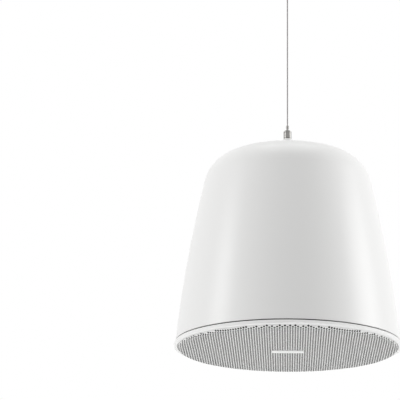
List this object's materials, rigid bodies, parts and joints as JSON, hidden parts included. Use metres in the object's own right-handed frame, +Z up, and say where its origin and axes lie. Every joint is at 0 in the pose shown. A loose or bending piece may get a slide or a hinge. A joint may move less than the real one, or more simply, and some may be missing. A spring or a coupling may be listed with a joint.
{
  "type": "pendant speaker",
  "caption": "Bell-shaped pendant loudspeaker with a round perforated grille facing down, hung by a cable gripper from a steel wire rope under a ceiling coupler.",
  "frame": {"origin": "centre of the top face of the ceiling coupler, on the speaker's axis, where it hangs", "axes": "+Z up along the wire rope, the grille faces -Z, the terminal well in the crown lies towards +Y"},
  "size_m": [0.32, 0.32, 0.5626],
  "materials": {
    "shell_white": "satin moulded, fine even surface",
    "grille_white": "white powder coat",
    "scrim_black": "thin woven acoustic cloth",
    "wadding": "loose polyester fibre",
    "rubber_black": "soft matt",
    "black_plastic": "fine moulded grain",
    "cone_polymer": "smooth pressed polymer",
    "dome_silk": "coated silk",
    "spider_cloth": "resin-stiffened cotton",
    "painted_steel": "black epoxy",
    "plated_steel": "zinc plated",
    "nickel": "nickel plated, turned",
    "wire_steel": "stranded galvanised steel",
    "ferrite": "sintered, matt",
    "laminations": "varnished steel sheets",
    "copper": "enamelled wire",
    "board_laminate": "solder mask",
    "capacitor_film": "wrapped film",
    "cement": "ceramic",
    "terminal_green": "moulded",
    "lead_jacket": "soft jacket"
  },
  "bodies": {
    "speaker": {"assembly_screws": "plated_steel", "baffle": "black_plastic", "bezel_ring": "shell_white", "board_screws": "plated_steel", "board_spacers": "black_plastic", "cable_grommet": "rubber_black", "ceiling_coupler": "nickel", "cover_screws": "plated_steel", "crossover_board": "board_laminate", "crossover_capacitors": "capacitor_film", "crossover_inductor": "copper", "crossover_resistor": "cement", "damping_wadding": "wadding", "driver_lead": "lead_jacket", "enclosure_shell": "shell_white", "grille": "grille_white", "grille_scrim": "scrim_black", "gripper_body": "nickel", "gripper_spring": "plated_steel", "hanger_bolt": "plated_steel", "hanger_plate": "plated_steel", "hanger_plate_screws": "plated_steel", "hanger_spacer": "grille_white", "hanger_washer": "plated_steel", "input_lead": "lead_jacket", "input_terminals": "terminal_green", "name_plate": "grille_white", "panel_screws": "plated_steel", "parting_gasket": "rubber_black", "port_tube_left": "black_plastic", "port_tube_right": "black_plastic", "spider": "spider_cloth", "suspension_wire": "wire_steel", "tap_switch": "black_plastic", "terminal_cover": "shell_white", "terminal_panel": "black_plastic", "transformer_bracket": "plated_steel", "transformer_core": "laminations", "transformer_lead": "lead_jacket", "transformer_screws": "plated_steel", "transformer_winding": "copper", "tweeter_cup": "painted_steel", "tweeter_faceplate": "black_plastic", "tweeter_magnet": "ferrite", "tweeter_post": "black_plastic", "wire_ferrule": "nickel", "woofer_basket": "painted_steel", "woofer_front_washer": "plated_steel", "woofer_gasket": "rubber_black", "woofer_magnet": "ferrite", "woofer_screws": "plated_steel", "woofer_surround": "rubber_black", "woofer_terminals": "terminal_green", "woofer_yoke": "plated_steel"},
    "gripper_press_button": {"gripper_plunger": "nickel", "gripper_balls": "plated_steel"},
    "tap_selector": {"tap_knob": "black_plastic"},
    "woofer_diaphragm": {"woofer_cone": "cone_polymer", "voice_coil": "copper"},
    "tweeter_diaphragm": {"tweeter_dome": "dome_silk"}
  },
  "joints": [
    {"name": "gripper_press", "type": "slide", "parent": "speaker", "child": "gripper_press_button", "axis": [0, 0, -1], "range_m": [0, 0.002], "stiffness_N_per_m": 400, "springref_m": -0.004, "deforming": ["gripper_spring"]},
    {"name": "tap_turn", "type": "hinge", "parent": "speaker", "child": "tap_selector", "pos_m": [0.013, 0.056, -0.303], "axis": [0, 0, 1], "range_deg": [-135, 135]},
    {"name": "woofer_travel", "type": "slide", "parent": "speaker", "child": "woofer_diaphragm", "axis": [0, 0, -1], "range_m": [-0.004, 0.004], "stiffness_N_per_m": 1500, "deforming": ["woofer_surround", "spider"]},
    {"name": "tweeter_travel", "type": "slide", "parent": "speaker", "child": "tweeter_diaphragm", "axis": [0, 0, -1], "range_m": [-0.0003, 0.0003], "stiffness_N_per_m": 1000}
  ]
}
